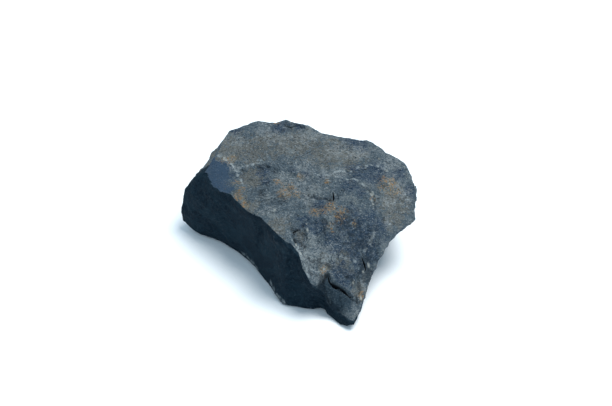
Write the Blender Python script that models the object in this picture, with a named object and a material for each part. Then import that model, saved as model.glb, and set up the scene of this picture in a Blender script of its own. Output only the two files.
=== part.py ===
"""A lump of coal: one broken, slaty block that lies on a small flat spot.

The top is an old, weathered bedding surface. It is nearly level at the back and falls towards a spur
at the front right. A fresh, black break runs down the front left side. The block is a ball of faces
drawn out to the lump's own outline: a rim round the top, a foot round the bottom, and a side between.
Layers that have split off leave low ledges on top, and knocks leave flat scars along the edges.

X runs to the right along the longest side, Y away from the spur, and Z up from the resting spot.
"""

import bmesh
import bpy
import numpy as np
from mathutils import Vector, noise

MM = 0.001
NAME = "coal_lump"

# The lump's real size: across, from front to back, and from the resting spot to the top.
SIZE = (89.5, 81.0, 38.0)

# The stations go round the lump, seen from above against the clock. Each is one line down the side:
# the corner on the rim, the corner at the foot, and how far the side swells out between them.
FRESH_FACE = (
    ((-35.5, 11.5, 30.0), (-45.0, 13.5, 2.5), 5.0),
    ((-32.5, 5.0, 30.5), (-41.0, 10.0, 1.5), 2.5),
    ((-29.5, -0.5, 30.5), (-36.5, 8.0, 1.0), 0.5),
    ((-25.5, -3.0, 30.5), (-30.5, 5.0, 1.0), 0.0),
    ((-22.5, -8.0, 30.5), (-24.0, -0.5, 0.5), 0.0),
    ((-18.5, -14.0, 30.5), (-19.5, -6.0, 0.5), -0.5),
    ((-14.0, -16.0, 30.5), (-16.0, -11.0, 0.5), -0.5),
    ((-10.5, -21.5, 30.5), (-12.0, -19.0, 0.5), 0.0),
    ((-5.5, -28.0, 30.0), (-6.5, -29.5, 0.5), -0.5),
    ((-3.0, -28.0, 28.5), (-3.5, -30.5, 0.5), -0.5),
    ((-0.5, -29.5, 25.5), (-1.0, -31.0, 0.5), 0.0),
    ((1.5, -34.0, 21.0), (2.0, -32.0, 0.5), -0.5),
    ((4.0, -36.0, 16.5), (5.0, -32.5, 0.5), -1.0),
)
SPUR = (
    ((8.5, -35.5, 12.0), (7.5, -32.0, 0.5), -1.0),
    ((10.0, -36.5, 7.5), (9.0, -32.5, 0.5), -0.5),
    ((11.5, -37.0, 5.0), (10.0, -35.0, 0.5), 0.0),
    ((15.5, -39.5, 4.5), (14.5, -40.0, 0.2), 0.5),
    ((18.0, -42.0, 4.5), (17.0, -41.0, 0.2), 0.5),
    ((19.5, -42.5, 4.0), (18.5, -40.5, 0.2), 0.5),
    ((22.5, -36.5, 7.0), (20.5, -35.0, 0.5), 0.5),
    ((24.0, -31.5, 10.5), (22.0, -29.5, 0.5), 0.5),
    ((29.0, -23.5, 15.5), (24.0, -20.0, 1.0), -0.5),
)
RIGHT_END = (
    ((32.0, -18.5, 19.0), (25.5, -14.0, 1.5), -1.0),
    ((36.0, -13.5, 21.0), (27.5, -8.0, 2.5), -1.0),
    ((42.5, -7.5, 23.5), (30.5, -2.5, 4.0), -1.0),
    ((43.5, 0.0, 28.5), (33.0, 3.5, 4.5), 0.5),
    ((42.0, 7.0, 31.0), (33.0, 9.0, 4.0), 1.5),
    ((38.5, 13.5, 33.0), (31.5, 15.5, 3.5), 2.5),
    ((32.0, 17.5, 35.0), (27.0, 21.0, 3.0), 3.0),
)
BACK = (
    ((26.0, 23.0, 36.0), (22.0, 26.0, 3.0), 3.0),
    ((21.5, 24.0, 36.0), (17.0, 28.5, 3.0), 3.0),
    ((8.5, 26.5, 37.0), (8.0, 31.5, 2.5), 3.0),
    ((-0.5, 32.0, 37.5), (-1.0, 33.5, 2.5), 3.5),
    ((-5.5, 34.0, 38.0), (-6.0, 34.5, 3.0), 3.5),
    ((-9.5, 33.0, 37.0), (-11.0, 34.0, 3.0), 3.5),
    ((-16.5, 34.0, 37.0), (-18.0, 32.5, 3.5), 3.0),
    ((-28.0, 31.5, 35.5), (-28.0, 28.0, 4.0), 3.0),
    ((-29.5, 26.5, 34.0), (-33.0, 24.0, 5.0), 3.5),
    ((-31.5, 19.5, 32.5), (-40.0, 18.5, 4.5), 3.0),
)
STATIONS = FRESH_FACE + SPUR + RIGHT_END + BACK
WAIST = 0.62  # where the side swells out, as a share of the way up from the foot to the rim

CROWN = (2.0, -2.0)  # the point on top from which the faces fan out
BASE_DIP = 0.8  # how far the underside would sink below the resting spot before it is cut flat

# The top is the lowest of these sheets at each point: a point on it, and its slopes along X and Y.
TOP_SHEETS = {
    "back": ((0.0, 0.0, 34.2), 0.0, 0.12),
    "left": ((-27.0, 8.0, 32.4), 0.14, 0.09),
    "right": ((38.0, 13.0, 33.0), -0.36, 0.25),
}
SHEET_BLEND = 1.8  # how softly one sheet rolls over into the next

# The front of the top falls to the spur as one slope with small steps: heights at distances up the
# slope from the point where its left edge starts down the fresh face.
SLOPE_START = (1.5, -34.0)
SLOPE_UPHILL = (-0.5, 0.87)
SLOPE_STEPS = (
    (-30.0, -7.0),
    (-15.5, 4.5),
    (-9.0, 10.5),
    (-5.0, 14.5),
    (-1.5, 19.0),
    (0.0, 20.5),
    (1.0, 22.5),
    (5.0, 25.5),
    (7.5, 28.5),
    (10.0, 32.0),
    (40.0, 60.0),
)
RIM_REACH = 7.0  # how far in from the rim its own height still tells

# Ledges on top: the line of the step, going so that the low side is on the left, the drop at the
# step, and how far the low layer takes to rise back to the general surface.
LEDGES = {
    "upper_layer": (
        ((31.0, 8.6), (28.0, 9.6), (22.0, 8.2), (16.0, 5.6), (6.0, 4.8), (-4.0, 6.2), (-13.0, 11.0), (-21.0, 9.4)),
        1.3,
        15.0,
    ),
    "arc": (((27.8, -9.0), (27.4, -4.6), (24.6, -1.2), (21.0, 1.6), (14.0, 1.4), (8.4, 0.6)), 1.1, 8.0),
    "middle_strip": (((10.4, -8.2), (6.4, -6.6), (0.4, -5.6), (-3.6, -5.8)), 0.8, 6.0),
    "rust_hollow": (((-1.4, 1.8), (-6.0, 3.4), (-12.4, 1.6), (-14.4, -3.0)), 0.8, 8.0),
    "back_layer": (((-6.0, 31.0), (-8.4, 27.0), (-16.0, 25.6), (-22.0, 27.4), (-27.0, 25.4)), 0.9, 9.0),
    "back_right_layer": (((36.0, 10.6), (30.0, 14.6), (21.0, 16.8), (12.0, 21.4), (4.0, 21.0)), 0.7, 8.0),
    "right_edge": (((34.0, -14.0), (31.0, -11.5), (28.0, -9.0)), 0.6, 7.0),
    "right_lobe": (((40.0, 1.0), (41.0, -4.0), (42.5, -6.0)), 1.0, 5.0),
    "spur_step": (((22.0, -24.5), (19.5, -26.0), (12.0, -27.5), (5.0, -29.5)), 0.8, 6.0),
    "spur_edge": (((23.5, -35.0), (22.0, -31.0), (22.5, -26.0)), 0.9, 6.0),
    "spur_scar": (
        ((21.5, -35.5), (19.0, -35.0), (16.0, -34.0), (13.5, -34.0), (11.5, -33.5), (10.5, -31.5), (8.0, -35.0)),
        1.7,
        9.0,
    ),
}
STEP_WIDTH = 0.35  # a ledge drops over this width

# Pits and low knobs on top: a middle, a radius, and how high the knob or how deep the pit is.
DIMPLES = {
    "knob": ((-0.5, -25.0), 2.8, 1.0),
    "knob_slit": ((-2.5, -23.0), 1.4, -1.2),
    "middle_pit": ((12.6, -6.4), 1.6, -0.9),
    "middle_knob": ((16.4, -3.0), 2.6, 0.8),
    "hollow_pit": ((-4.6, -1.8), 2.4, -0.7),
    "left_knob": ((-20.6, -2.4), 3.0, 0.7),
    "left_pit": ((-15.2, -6.4), 2.2, -0.6),
    "crumb": ((2.5, -22.0), 1.4, 0.9),
    "recess": ((10.0, -35.5), 1.8, -1.4),
    "right_knob": ((27.4, -2.0), 2.0, 0.8),
    "right_bump": ((29.6, -13.4), 2.4, 0.9),
    "slope_bump": ((20.4, -15.4), 3.0, 0.8),
    "slope_pit": ((24.2, -19.6), 2.2, -0.8),
    "edge_notch": ((25.5, -25.5), 2.0, -1.3),
    "back_pit": ((-0.6, 27.2), 2.4, -0.9),
    "back_knob": ((-12.4, 21.0), 3.4, 0.6),
    "back_hollow": ((9.4, 15.0), 4.0, -0.6),
}

# Layers show as steps round the back and the right end: their heights, and how far each layer
# stands out past the one below it.
LAYERS = ((9.0, 1.1), (15.5, -0.8), (22.0, 1.0), (28.5, -1.2))
LAYERED_FROM = (0.30, 0.95)  # the way the layered side faces, on the plan

# Flat scars: a point on the plane of the break, the way it faces, and how far round it reaches.
SCARS = {
    "blue_facet": ((-29.5, 6.5, 30.9), (-0.30, -0.17, 0.94), 14.0),
    "crease_chip": ((-14.6, -17.2, 29.0), (-0.74, -0.50, 0.45), 8.0),
    "crease_nick": ((-20.8, -11.2, 29.4), (-0.76, -0.40, 0.52), 6.0),
    "left_block": ((-40.4, 6.0, 20.0), (-0.62, -0.76, 0.18), 16.0),
    "left_block_back": ((-43.8, 16.0, 20.0), (-0.72, 0.60, 0.34), 15.0),
    "fresh_front": ((-4.5, -29.8, 15.0), (-0.66, -0.75, 0.05), 16.0),
    "fresh_middle": ((-16.6, -12.8, 13.0), (-0.80, -0.60, -0.04), 18.0),
    "right_corner": ((43.0, -3.0, 26.6), (0.88, -0.20, 0.44), 12.0),
    "right_shelf": ((39.2, -11.6, 22.4), (0.60, -0.78, 0.14), 10.0),
    "spur_side": ((26.4, -28.0, 10.4), (0.86, -0.48, 0.16), 10.0),
    "right_under": ((37.4, -2.0, 9.0), (0.80, -0.24, -0.54), 22.0),
    "back_right": ((32.4, 21.6, 22.0), (0.66, 0.72, 0.20), 20.0),
    "back_middle": ((14.0, 32.0, 17.0), (0.16, 0.95, 0.27), 20.0),
    "back_left": ((-23.0, 34.0, 19.0), (-0.42, 0.88, 0.22), 20.0),
    "back_nick": ((11.5, 28.5, 34.8), (0.30, 0.60, 0.74), 9.0),
    "back_foot": ((-6.0, 35.4, 6.0), (-0.10, 0.78, -0.62), 16.0),
    "left_under": ((-38.0, 12.5, 0.2), (-0.44, -0.10, -0.89), 15.0),
}
SCAR_FADE = 0.35  # the outer share of a scar's reach, over which it dies away

# The crack under the flake on the spur: its line on the ground plan, its width and its depth.
CRACK_LINE = ((10.5, -31.5), (11.5, -33.5), (13.5, -34.0), (16.0, -34.0), (18.0, -34.5), (20.0, -35.0))
CRACK_WIDTH = 0.75
CRACK_DEPTH = 2.4

# Unevenness of the broken surfaces, as (size of the lumps, height).
ROUGHNESS = ((17.0, 0.75), (6.5, 0.40), (2.6, 0.22))
SPACING = 0.9  # of the faces before they are thinned
UNDER_SPACING = 1.6
TRIANGLES = 8600


def sheet_height(x, y, sheet):
    (px, py, pz), slope_x, slope_y = TOP_SHEETS[sheet]
    return pz + slope_x * (x - px) + slope_y * (y - py)


def front_height(x, y):
    """Height of the stepped slope that falls to the spur."""
    uphill = (x - SLOPE_START[0]) * SLOPE_UPHILL[0] + (y - SLOPE_START[1]) * SLOPE_UPHILL[1]
    return np.interp(uphill, *zip(*SLOPE_STEPS))


def top_height(x, y):
    """Height of the top before its ledges: the softened lowest of the sheets and the front."""
    heights = np.stack([sheet_height(x, y, sheet) for sheet in TOP_SHEETS] + [front_height(x, y)])
    lowest = heights.min(axis=0)
    share = np.exp(-(heights - lowest) / SHEET_BLEND).sum(axis=0)
    return lowest - SHEET_BLEND * np.log(share)


def distance_to_line(x, y, line):
    """Distance to a broken line on the plan, positive on its left, and how far past its ends."""
    nearest = np.full(len(x), 1e9)
    across = np.zeros(len(x))
    past = np.zeros(len(x))
    last = len(line) - 2
    for i, (start, end) in enumerate(zip(line[:-1], line[1:])):
        dx, dy = end[0] - start[0], end[1] - start[1]
        length = np.hypot(dx, dy)
        along = ((x - start[0]) * dx + (y - start[1]) * dy) / length
        held = np.clip(along, 0.0, length)
        away = np.hypot(x - start[0] - held * dx / length, y - start[1] - held * dy / length)
        sideways = ((y - start[1]) * dx - (x - start[0]) * dy) / length
        over = np.maximum(-along if i == 0 else 0.0, along - length if i == last else 0.0)
        # Beyond a corner two pieces are equally near, and the one seen more squarely tells the side.
        level = (np.abs(away - nearest) < 1e-6) & (np.abs(sideways) > np.abs(across))
        closer = (away < nearest - 1e-6) | level
        nearest = np.where(closer, away, nearest)
        across = np.where(closer, sideways, across)
        past = np.where(closer, np.maximum(over, 0.0), past)
    return np.sign(across) * nearest, past


def ledge_drop(x, y):
    """How far the split layers lower the top at each point."""
    drop = np.zeros(len(x))
    plan = np.stack([x, y, np.zeros(len(x))], axis=1)
    wander = fractal(plan, 3.2, 5.0) * 0.8
    worn = np.clip(0.75 + fractal(plan, 7.0, 6.0) * 0.9, 0.15, 1.2)
    for line, depth, reach in LEDGES.values():
        signed, past = distance_to_line(x, y, line)
        signed = signed + wander
        step = np.clip(signed / STEP_WIDTH + 0.5, 0.0, 1.0)
        fade = np.clip(1.0 - signed / reach, 0.0, 1.0) * np.clip(1.0 - past / 3.0, 0.0, 1.0)
        drop = np.maximum(drop, depth * step * fade)
    return drop * worn


def dimple_rise(x, y):
    """How far the knobs raise the top at each point; a pit counts as a rise below nothing."""
    rise = np.zeros(len(x))
    for (middle_x, middle_y), radius, height in DIMPLES.values():
        away = np.hypot(x - middle_x, y - middle_y) / radius
        rise += height * np.clip(1.0 - away**2, 0.0, 1.0)
    return rise


def layer_push(points):
    """How far the layers push each point of the side out from the middle, on the plan."""
    wander = fractal(points * np.array([0.4, 0.4, 0.1]), 3.0, 7.0) * 2.2
    height = points[:, 2] + wander
    push = sum(out * np.clip((height - level) / 0.6, 0.0, 1.0) for level, out in LAYERS)
    outward = points[:, :2] - np.array(CROWN)
    outward /= np.maximum(np.linalg.norm(outward, axis=1), 1e-6)[:, None]
    share = np.clip(outward @ np.array(LAYERED_FROM) * 1.6 + 0.2, 0.0, 1.0)
    return outward * (push * share)[:, None]


def fractal(points, size, seed):
    """Smooth noise of about -1 to 1 whose lumps are this many millimetres across."""
    shift = Vector((seed * 13.7, seed * 7.1, seed * 3.3))
    return np.array([noise.fractal(Vector(p) / size + shift, 0.9, 2.1, 3) for p in points.tolist()])


def rings_round():
    """The rim, waist and foot as closed rings of points, evenly spaced with every corner kept."""
    rim = np.array([station[0] for station in STATIONS])
    foot = np.array([station[1] for station in STATIONS])
    swell = np.array([station[2] for station in STATIONS])
    waist = foot + (rim - foot) * WAIST
    outward = waist[:, :2] - np.array(CROWN)
    waist[:, :2] += outward / np.linalg.norm(outward, axis=1)[:, None] * swell[:, None]
    steps = np.ceil(np.linalg.norm(np.roll(rim, -1, axis=0) - rim, axis=1) / SPACING).astype(int)

    def filled(ring):
        after = np.roll(ring, -1, axis=0)
        return np.concatenate(
            [ring[i] + (after[i] - ring[i]) * np.arange(n)[:, None] / n for i, n in enumerate(steps)]
        )

    return filled(rim), filled(waist), filled(foot)


def top_rows(rim):
    """Rows of points over the top, from just outside the crown to the rim."""
    crown = np.array(CROWN)
    across = rim[:, :2] - crown
    widest = np.linalg.norm(across, axis=1)
    lift = rim[:, 2] - top_height(rim[:, 0], rim[:, 1])
    rows = []
    for share in np.arange(1, int(widest.max() / SPACING)) / int(widest.max() / SPACING):
        plan = crown + across * share
        near_rim = np.clip(1.0 - (1.0 - share) * widest / RIM_REACH, 0.0, 1.0)
        height = top_height(plan[:, 0], plan[:, 1]) + lift * near_rim**2
        rows.append(np.column_stack([plan, height]))
    return rows + [rim]


def side_rows(upper, lower):
    """Rows down the side below the upper ring, down to the lower one."""
    count = int(np.linalg.norm(upper - lower, axis=1).max() / SPACING)
    return [upper + (lower - upper) * step / count for step in range(1, count + 1)]


def under_rows(foot):
    """Rows from the foot in towards the middle of the underside, which sinks towards it."""
    middle = np.array(CROWN)
    count = int(np.linalg.norm(foot[:, :2] - middle, axis=1).max() / UNDER_SPACING)
    rows = []
    for share in np.arange(1, count) / count:
        plan = foot[:, :2] + (middle - foot[:, :2]) * share
        height = foot[:, 2] - (foot[:, 2] + BASE_DIP) * (1.0 - (1.0 - share) ** 2)
        rows.append(np.column_stack([plan, height]))
    return rows


def drawn_out_ball():
    """A ball of faces whose rows and columns are drawn out to the rows and columns of the lump."""
    rim, waist, foot = rings_round()
    rows = np.array(top_rows(rim) + side_rows(rim, waist) + side_rows(waist, foot) + under_rows(foot))
    columns = len(rim)
    mesh = bmesh.new()
    bmesh.ops.create_uvsphere(mesh, u_segments=columns, v_segments=len(rows) + 1, radius=1.0)
    ball = np.array([vertex.co for vertex in mesh.verts])
    row = np.rint(np.arccos(np.clip(ball[:, 2], -1.0, 1.0)) / np.pi * (len(rows) + 1)).astype(int) - 1
    column = np.rint(np.arctan2(ball[:, 1], ball[:, 0]) / (2.0 * np.pi) * columns).astype(int) % columns
    crown = np.array(CROWN)
    points = rows[np.clip(row, 0, len(rows) - 1), column]
    points[row < 0] = (*crown, top_height(crown[:1], crown[1:])[0])
    points[row >= len(rows)] = (*crown, -BASE_DIP)
    on_top = np.clip(1.0 - (row - len(top_rows(rim)) + 1) / 3.0, 0.0, 1.0) * (row < len(top_rows(rim)))
    rise = dimple_rise(points[:, 0], points[:, 1]) - ledge_drop(points[:, 0], points[:, 1])
    on_side = (row >= len(top_rows(rim)) + 2) * (points[:, 2] > 1.0)
    points[:, :2] += layer_push(points) * on_side[:, None]
    points[:, 2] += rise * on_top
    return mesh, points


def put_back(mesh, points):
    for vertex, point in zip(mesh.verts, points.tolist()):
        vertex.co = point
    mesh.normal_update()


def roughened(mesh, points):
    """Pushes each point out or in along the surface's own direction, less so near the resting spot."""
    put_back(mesh, points)
    normals = np.array([vertex.normal for vertex in mesh.verts])
    push = sum(fractal(points, size, seed) * height for seed, (size, height) in enumerate(ROUGHNESS))
    calm = np.clip(0.2 + points[:, 2] / 6.0, 0.2, 1.0)
    return points + normals * (push * calm)[:, None]


def knocked_flat(points):
    """Clips the points beyond each scar's plane back on to it."""
    for centre, facing, reach in SCARS.values():
        normal = np.array(facing) / np.linalg.norm(facing)
        offset = points - np.array(centre)
        proud = np.maximum(offset @ normal, 0.0)
        hold = np.clip((1.0 - np.linalg.norm(offset, axis=1) / reach) / SCAR_FADE, 0.0, 1.0)
        points = points - normal * (proud * hold)[:, None]
    return points


def object_from(mesh, name, collection):
    data = bpy.data.meshes.new(name)
    mesh.to_mesh(data)
    mesh.free()
    made = bpy.data.objects.new(name, data)
    collection.objects.link(made)
    return made


def evaluated_copy(source):
    """The mesh of an object with its modifiers applied."""
    graph = bpy.context.evaluated_depsgraph_get()
    return bpy.data.meshes.new_from_object(source.evaluated_get(graph))


def thinned_lump(collection):
    """The lump in millimetres, with few faces where it is flat and more along its edges."""
    ball, points = drawn_out_ball()
    points = knocked_flat(roughened(ball, points))
    put_back(ball, points)
    bmesh.ops.triangulate(ball, faces=ball.faces)
    faces = len(ball.faces)
    lump = object_from(ball, NAME, collection)
    thin = lump.modifiers.new("thin", "DECIMATE")
    thin.ratio = TRIANGLES / faces
    lump.data = evaluated_copy(lump)
    lump.modifiers.clear()
    return lump


def cut_resting_spot(lump):
    """Cuts the underside off level, which leaves the small flat spot that the lump rests on."""
    mesh = bmesh.new()
    mesh.from_mesh(lump.data)
    everything = mesh.verts[:] + mesh.edges[:] + mesh.faces[:]
    cut = bmesh.ops.bisect_plane(
        mesh, geom=everything, dist=1e-4, plane_co=(0, 0, 0), plane_no=(0, 0, -1), clear_outer=True
    )
    rim = [part for part in cut["geom_cut"] if isinstance(part, bmesh.types.BMEdge)]
    bmesh.ops.holes_fill(mesh, edges=rim)
    bmesh.ops.triangulate(mesh, faces=mesh.faces)
    mesh.to_mesh(lump.data)
    mesh.free()


def crack_blade(collection):
    """A thin upright blade along the crack, narrower at its ends, as the cutter for it."""
    line = np.array(CRACK_LINE)
    along = np.gradient(line, axis=0)
    across = np.column_stack([-along[:, 1], along[:, 0]]) / np.linalg.norm(along, axis=1)[:, None]
    taper = np.sin(np.linspace(0.12, 0.88, len(line)) * np.pi)[:, None] ** 0.5
    left = line + across * taper * CRACK_WIDTH / 2
    right = line - across * taper * CRACK_WIDTH / 2
    outline = np.concatenate([left, right[::-1]])
    heights = top_height(outline[:, 0], outline[:, 1]) - ledge_drop(outline[:, 0], outline[:, 1])
    blade = bmesh.new()
    floor = [blade.verts.new((x, y, z - CRACK_DEPTH)) for (x, y), z in zip(outline.tolist(), heights)]
    face = blade.faces.new(floor)
    raised = bmesh.ops.extrude_face_region(blade, geom=[face])["geom"]
    top = [part for part in raised if isinstance(part, bmesh.types.BMVert)]
    bmesh.ops.translate(blade, verts=top, vec=(0, 0, 12.0))
    bmesh.ops.triangulate(blade, faces=blade.faces)
    bmesh.ops.recalc_face_normals(blade, faces=blade.faces)
    cutter = object_from(blade, "crack_blade", collection)
    cutter.hide_render = True
    cutter.display_type = "WIRE"
    return cutter


def crack_open(lump, cutter):
    cut = lump.modifiers.new("crack", "BOOLEAN")
    cut.operation = "DIFFERENCE"
    cut.object = cutter
    lump.data = evaluated_copy(lump)
    lump.modifiers.clear()


def brought_to_size(lump):
    """Brings the lump to its real size in metres, with the middle of its base at the origin."""
    points = np.array([vertex.co for vertex in lump.data.vertices])
    low, high = points.min(axis=0), points.max(axis=0)
    middle = np.array([(low[0] + high[0]) / 2, (low[1] + high[1]) / 2, low[2]])
    placed = (points - middle) * np.array(SIZE) / (high - low) * MM
    lump.data.vertices.foreach_set("co", placed.astype(np.float32).ravel())
    lump.data.update()


def coal_material():
    """Dull, blue-black coal."""
    material = bpy.data.materials.new("coal")
    material.use_nodes = True
    shader = material.node_tree.nodes["Principled BSDF"]
    shader.inputs["Base Color"].default_value = (0.07, 0.085, 0.1, 1.0)
    shader.inputs["Roughness"].default_value = 0.72
    shader.inputs["Metallic"].default_value = 0.0
    return material


def new_collection(name):
    made = bpy.data.collections.new(name)
    bpy.context.scene.collection.children.link(made)
    return made


def main():
    for old in list(bpy.data.objects):
        bpy.data.objects.remove(old)
    parts = new_collection(NAME)
    cutters = new_collection("cutters")
    lump = thinned_lump(parts)
    crack_open(lump, crack_blade(cutters))
    cut_resting_spot(lump)
    brought_to_size(lump)
    lump.data.materials.clear()
    lump.data.materials.append(coal_material())


main()
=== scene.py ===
"""The lump of coal with its fine surface, on a pale studio floor.

The solid from the frame is replaced by a finer skin of the same shape: the same rim, foot, slopes,
ledges and scars, with the flaking, pits, grains and chipped edges of weathered coal on top of them.
Where the skin is fresh, worn, rusty or smooth, and where shade is painted into its hollows, is written on
its points, and the material colours it from that. All lengths in the tables are millimetres in the
lump's own plan.
"""

import math

import bmesh
import bpy
import numpy as np
from bpy.props import FloatProperty, FloatVectorProperty, IntProperty, PointerProperty
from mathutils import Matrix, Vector, noise


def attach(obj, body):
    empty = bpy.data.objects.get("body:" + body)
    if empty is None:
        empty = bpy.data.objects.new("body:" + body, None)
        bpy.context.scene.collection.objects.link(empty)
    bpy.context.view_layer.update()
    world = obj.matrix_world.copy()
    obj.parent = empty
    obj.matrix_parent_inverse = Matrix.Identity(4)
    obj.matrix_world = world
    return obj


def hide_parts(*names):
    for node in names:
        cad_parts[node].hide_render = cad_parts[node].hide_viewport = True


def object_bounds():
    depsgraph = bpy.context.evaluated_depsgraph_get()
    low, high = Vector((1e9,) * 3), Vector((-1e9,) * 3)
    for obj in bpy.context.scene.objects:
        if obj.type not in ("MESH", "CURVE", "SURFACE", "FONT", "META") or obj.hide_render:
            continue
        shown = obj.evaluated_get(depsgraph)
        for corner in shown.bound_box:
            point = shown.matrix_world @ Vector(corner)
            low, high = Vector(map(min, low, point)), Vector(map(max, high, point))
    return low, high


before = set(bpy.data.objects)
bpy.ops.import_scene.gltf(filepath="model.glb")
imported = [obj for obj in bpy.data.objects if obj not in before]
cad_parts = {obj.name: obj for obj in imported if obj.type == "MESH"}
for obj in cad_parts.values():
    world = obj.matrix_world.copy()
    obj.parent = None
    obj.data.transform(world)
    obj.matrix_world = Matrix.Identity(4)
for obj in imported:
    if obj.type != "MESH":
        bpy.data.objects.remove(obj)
CAD_LOW, CAD_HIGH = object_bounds()

bl_info = {
    "name": "Lump of Coal",
    "version": (1, 0, 0),
    "blender": (4, 5, 0),
    "location": "View3D > Sidebar > Coal",
    "description": "Builds a lump of weathered coal and a pale studio floor to show it on",
    "category": "Add Mesh",
}

MM_IN_A_METRE = 1000.0

# The stations go round the lump, seen from above against the clock. Each is one line down the side:
# the corner on the rim, the corner at the foot, and how far the side swells out between them.
FRESH_FACE = (
    ((-35.5, 11.5, 30), (-45, 13.5, 2.5), 5),
    ((-32.5, 5, 30.5), (-41, 10, 1.5), 2.5),
    ((-29.5, -0.5, 30.5), (-36.5, 8, 1), 0.5),
    ((-25.5, -3, 30.5), (-30.5, 5, 1), 0),
    ((-22.5, -8, 30.5), (-24, -0.5, 0.5), 0),
    ((-18.5, -14, 30.5), (-19.5, -6, 0.5), -0.5),
    ((-14, -16, 30.5), (-16, -11, 0.5), -0.5),
    ((-10.5, -21.5, 30.5), (-12, -19, 0.5), 0),
    ((-5.5, -28, 30), (-6.5, -29.5, 0.5), -0.5),
    ((-3, -28, 28.5), (-3.5, -30.5, 0.5), -0.5),
    ((-0.5, -29.5, 25.5), (-1, -31, 0.5), 0),
    ((1.5, -34, 21), (2, -32, 0.5), -0.5),
    ((4, -36, 16.5), (5, -32.5, 0.5), -1),
)
SPUR = (
    ((8.5, -35.5, 12), (7.5, -32, 0.5), -1),
    ((10, -36.5, 7.5), (9, -32.5, 0.5), -0.5),
    ((11.5, -37, 5), (10, -35, 0.5), 0),
    ((15.5, -39.5, 4.5), (14.5, -40, 0.2), 0.5),
    ((18, -42, 4.5), (17, -41, 0.2), 0.5),
    ((19.5, -42.5, 4), (18.5, -40.5, 0.2), 0.5),
    ((22.5, -36.5, 7), (20.5, -35, 0.5), 0.5),
    ((24, -31.5, 10.5), (22, -29.5, 0.5), 0.5),
    ((29, -23.5, 15.5), (24, -20, 1), -0.5),
)
RIGHT_END = (
    ((32, -18.5, 19), (25.5, -14, 1.5), -1),
    ((36, -13.5, 21), (27.5, -8, 2.5), -1),
    ((42.5, -7.5, 23.5), (30.5, -2.5, 4), -1),
    ((43.5, 0, 28.5), (33, 3.5, 4.5), 0.5),
    ((42, 7, 31), (33, 9, 4), 1.5),
    ((38.5, 13.5, 33), (31.5, 15.5, 3.5), 2.5),
    ((32, 17.5, 35), (27, 21, 3), 3),
)
BACK = (
    ((26, 23, 36), (22, 26, 3), 3),
    ((21.5, 24, 36), (17, 28.5, 3), 3),
    ((8.5, 26.5, 37), (8, 31.5, 2.5), 3),
    ((-0.5, 32, 37.5), (-1, 33.5, 2.5), 3.5),
    ((-5.5, 34, 38), (-6, 34.5, 3), 3.5),
    ((-9.5, 33, 37), (-11, 34, 3), 3.5),
    ((-16.5, 34, 37), (-18, 32.5, 3.5), 3),
    ((-28, 31.5, 35.5), (-28, 28, 4), 3),
    ((-29.5, 26.5, 34), (-33, 24, 5), 3.5),
    ((-31.5, 19.5, 32.5), (-40, 18.5, 4.5), 3),
)
STATIONS = FRESH_FACE + SPUR + RIGHT_END + BACK
LAST_FRESH_STATION = 19  # the fresh break ends just before the spur's tip
WAIST = 0.62  # where the side swells out, as a share of the way up from the foot to the rim

CROWN = (2.0, -2.0)  # the point on top from which the faces fan out
BASE_DIP = 0.8  # how far the underside would sink below the resting spot before it is cut flat

# The top is the lowest of these sheets at each point: a point on it, and its slopes along X and Y.
TOP_SHEETS = {
    "back": ((0.0, 0.0, 34.2), 0.0, 0.12),
    "left": ((-27.0, 8.0, 32.4), 0.14, 0.09),
    "right": ((38.0, 13.0, 33.0), -0.36, 0.25),
}
SHEET_BLEND = 1.8  # how softly one sheet rolls over into the next

# The front of the top falls to the spur as one slope with small steps: heights at distances up the
# slope from the point where its left edge starts down the fresh face.
SLOPE_START = (1.5, -34.0)
SLOPE_UPHILL = (-0.5, 0.87)
SLOPE_STEPS = (
    (-30.0, -7.0),
    (-15.5, 4.5),
    (-9.0, 10.5),
    (-5.0, 14.5),
    (-1.5, 19.0),
    (0.0, 20.5),
    (1.0, 22.5),
    (5.0, 25.5),
    (7.5, 28.5),
    (10.0, 32.0),
    (40.0, 60.0),
)
RIM_REACH = 7.0  # how far in from the rim its own height still tells

# Ledges on top: the line of the step, going so that the low side is on the left, the drop at the
# step, how far the low layer takes to rise back to the general surface, and the width of the step.
LEDGES = {
    "upper_layer": (
        ((31, 8.6), (28, 9.6), (22, 8.2), (16, 5.6), (6, 4.8), (-4, 6.2), (-13, 11), (-21, 9.4)),
        1.1, 15, 2.2,
    ),
    "arc": (((27.8, -9), (27.4, -4.6), (24.6, -1.2), (21, 1.6), (14, 1.4), (8.4, 0.6)), 1, 8, 0.9),
    "middle_strip": (((10.4, -8.2), (6.4, -6.6), (0.4, -5.6), (-3.6, -5.8)), 0.8, 6, 0.8),
    "rust_hollow": (((-1.4, 1.8), (-6, 3.4), (-12.4, 1.6), (-14.4, -3)), 0.7, 8, 0.9),
    "back_layer": (((-6, 31), (-8.4, 27), (-16, 25.6), (-22, 27.4), (-27, 25.4)), 0.7, 9, 1.4),
    "back_right_layer": (((36, 10.6), (30, 14.6), (21, 16.8), (12, 21.4), (4, 21)), 0.5, 8, 1.2),
    "right_edge": (((34, -14), (31, -11.5), (28, -9)), 0.6, 7, 1.2),
    "right_lobe": (((40, 1), (41, -4), (42.5, -6)), 0.8, 5, 1),
    "spur_step": (((22, -24.5), (19.5, -26), (12, -27.5), (5, -29.5)), 0.8, 6, 1.2),
    "spur_edge": (((23.5, -35), (22, -31), (22.5, -26)), 0.8, 6, 1),
    "spur_scar": (
        ((21.5, -35.5), (19, -35), (16, -34), (13.5, -34), (11.5, -33.5), (10.5, -31.5), (5, -35.5)),
        1.6, 9, 0.5,
    ),
}

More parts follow.
